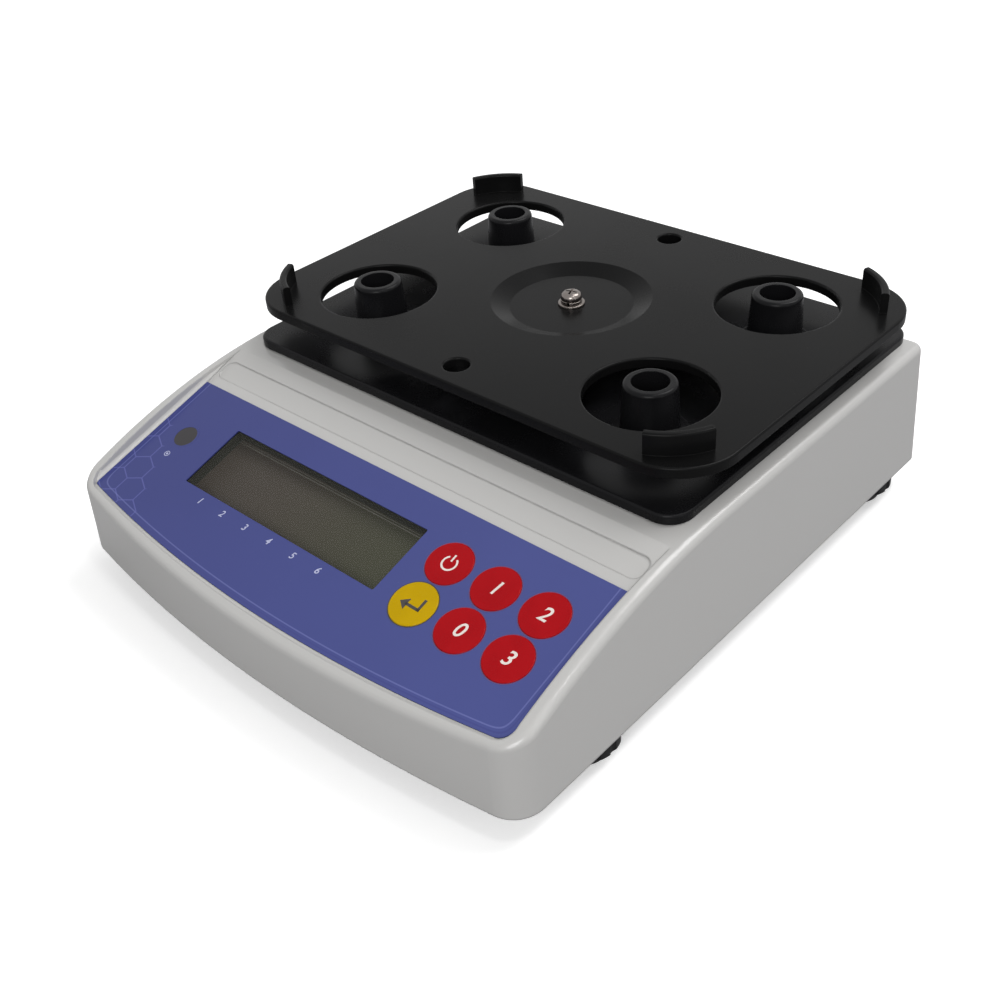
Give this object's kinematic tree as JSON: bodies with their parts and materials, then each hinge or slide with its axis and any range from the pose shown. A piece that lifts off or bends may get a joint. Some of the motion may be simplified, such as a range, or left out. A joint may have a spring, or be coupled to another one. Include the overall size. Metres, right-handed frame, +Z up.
{
  "type": "benchtop density meter",
  "caption": "Benchtop density meter: balance housing with sloped membrane panel and display, lower tray with hollow posts, and a sprung weighing plate above it.",
  "frame": {"origin": "bench level under the middle of the housing", "axes": "+X to the operator's right, -Y towards the operator, +Z up"},
  "size_m": [0.194, 0.215, 0.0778],
  "materials": {
    "housing_paint": "glossy light-grey paint over ABS",
    "cover_plastic": "fine-textured light-grey ABS",
    "panel_film": "printed polyester film, smooth gloss",
    "lens_clear": "clear acrylic",
    "lcd_glass": "dark olive display glass",
    "light_guide": "white diffuser",
    "board_green": "green solder mask",
    "connector_black": "moulded black nylon",
    "connector_metal": "nickel-plated shell",
    "level_cup": "smoked acrylic cup",
    "level_liquid": "dark liquid",
    "screw_steel": "nickel-plated steel",
    "insert_brass": "turned brass",
    "cell_aluminium": "milled aluminium",
    "tray_black": "black semi-gloss ABS",
    "plate_black": "black satin, fine texture",
    "foot_black": "moulded black",
    "pad_rubber": "soft black rubber",
    "key_red": "red printed key",
    "key_yellow": "yellow printed key"
  },
  "bodies": {
    "housing": {"top_housing": "housing_paint", "base_cover": "cover_plastic", "case_screws": "screw_steel", "foot_inserts": "insert_brass", "panel_film": "panel_film", "display_lens": "lens_clear", "lcd_frame": "connector_black", "lcd_glass": "lcd_glass", "lcd_light_guide": "light_guide", "main_board": "board_green", "board_screws": "screw_steel", "board_parts": "connector_black", "key_switches": "connector_black", "level_cup": "level_cup", "level_liquid": "level_liquid", "power_socket": "connector_black", "serial_port": "connector_metal", "serial_screws": "screw_steel", "load_cell": "cell_aluminium", "cell_spacer": "cell_aluminium", "cell_screws": "screw_steel", "overload_stop": "screw_steel", "support_tray": "tray_black", "tray_screws": "screw_steel", "post_front_left": "tray_black", "post_front_right": "tray_black", "post_back_left": "tray_black", "post_back_right": "tray_black"},
    "platform": {"plate_hub": "cell_aluminium", "hub_screw": "screw_steel", "weighing_plate": "plate_black", "flat_washer": "screw_steel", "spring_washer": "screw_steel", "plate_screw": "screw_steel"},
    "key_on_off": {"key_on_off": "key_red"},
    "key_1": {"key_1": "key_red"},
    "key_2": {"key_2": "key_red"},
    "key_enter": {"key_enter": "key_yellow"},
    "key_zero": {"key_zero": "key_red"},
    "key_3": {"key_3": "key_red"},
    "foot_pad_front_left": {"foot_pad_front_left": "pad_rubber"},
    "foot_wheel_front_left": {"foot_wheel_front_left": "foot_black"},
    "foot_pad_front_right": {"foot_pad_front_right": "pad_rubber"},
    "foot_wheel_front_right": {"foot_wheel_front_right": "foot_black"},
    "foot_pad_back_left": {"foot_pad_back_left": "pad_rubber"},
    "foot_wheel_back_left": {"foot_wheel_back_left": "foot_black"},
    "foot_pad_back_right": {"foot_pad_back_right": "pad_rubber"},
    "foot_wheel_back_right": {"foot_wheel_back_right": "foot_black"}
  },
  "joints": [
    {"name": "platform_slide", "type": "slide", "parent": "housing", "child": "platform", "axis": [0, 0, 1], "range_m": [-0.0005, 0], "stiffness_N_per_m": 20000, "springref_m": 0.0001, "deforming": ["load_cell"]},
    {"name": "key_on_off_press", "type": "slide", "parent": "housing", "child": "key_on_off", "axis": [0, 0.289, -0.9573], "range_m": [0, 0.0003], "stiffness_N_per_m": 5000, "springref_m": -0.0001},
    {"name": "key_1_press", "type": "slide", "parent": "housing", "child": "key_1", "axis": [0, 0.289, -0.9573], "range_m": [0, 0.0003], "stiffness_N_per_m": 5000, "springref_m": -0.0001},
    {"name": "key_2_press", "type": "slide", "parent": "housing", "child": "key_2", "axis": [0, 0.289, -0.9573], "range_m": [0, 0.0003], "stiffness_N_per_m": 5000, "springref_m": -0.0001},
    {"name": "key_enter_press", "type": "slide", "parent": "housing", "child": "key_enter", "axis": [0, 0.289, -0.9573], "range_m": [0, 0.0003], "stiffness_N_per_m": 5000, "springref_m": -0.0001},
    {"name": "key_zero_press", "type": "slide", "parent": "housing", "child": "key_zero", "axis": [0, 0.289, -0.9573], "range_m": [0, 0.0003], "stiffness_N_per_m": 5000, "springref_m": -0.0001},
    {"name": "key_3_press", "type": "slide", "parent": "housing", "child": "key_3", "axis": [0, 0.289, -0.9573], "range_m": [0, 0.0003], "stiffness_N_per_m": 5000, "springref_m": -0.0001},
    {"name": "foot_slide_front_left", "type": "slide", "parent": "housing", "child": "foot_pad_front_left", "axis": [0, 0, 1], "range_m": [-0.004, 0.001]},
    {"name": "foot_turn_front_left", "type": "hinge", "parent": "foot_pad_front_left", "child": "foot_wheel_front_left", "pos_m": [-0.085, -0.061, 0], "axis": [0, 0, 1], "range_deg": [-1440.1, 360.1]},
    {"name": "foot_slide_front_right", "type": "slide", "parent": "housing", "child": "foot_pad_front_right", "axis": [0, 0, 1], "range_m": [-0.004, 0.001]},
    {"name": "foot_turn_front_right", "type": "hinge", "parent": "foot_pad_front_right", "child": "foot_wheel_front_right", "pos_m": [0.085, -0.061, 0], "axis": [0, 0, 1], "range_deg": [-1440.1, 360.1]},
    {"name": "foot_slide_back_left", "type": "slide", "parent": "housing", "child": "foot_pad_back_left", "axis": [0, 0, 1], "range_m": [-0.004, 0.001]},
    {"name": "foot_turn_back_left", "type": "hinge", "parent": "foot_pad_back_left", "child": "foot_wheel_back_left", "pos_m": [-0.085, 0.09, 0], "axis": [0, 0, 1], "range_deg": [-1440.1, 360.1]},
    {"name": "foot_slide_back_right", "type": "slide", "parent": "housing", "child": "foot_pad_back_right", "axis": [0, 0, 1], "range_m": [-0.004, 0.001]},
    {"name": "foot_turn_back_right", "type": "hinge", "parent": "foot_pad_back_right", "child": "foot_wheel_back_right", "pos_m": [0.085, 0.09, 0], "axis": [0, 0, 1], "range_deg": [-1440.1, 360.1]}
  ],
  "couplings": [
    {"joint": "foot_turn_front_left", "follows": "foot_slide_front_left", "rad_per_m": 6283.2},
    {"joint": "foot_turn_front_right", "follows": "foot_slide_front_right", "rad_per_m": 6283.2},
    {"joint": "foot_turn_back_left", "follows": "foot_slide_back_left", "rad_per_m": 6283.2},
    {"joint": "foot_turn_back_right", "follows": "foot_slide_back_right", "rad_per_m": 6283.2}
  ]
}
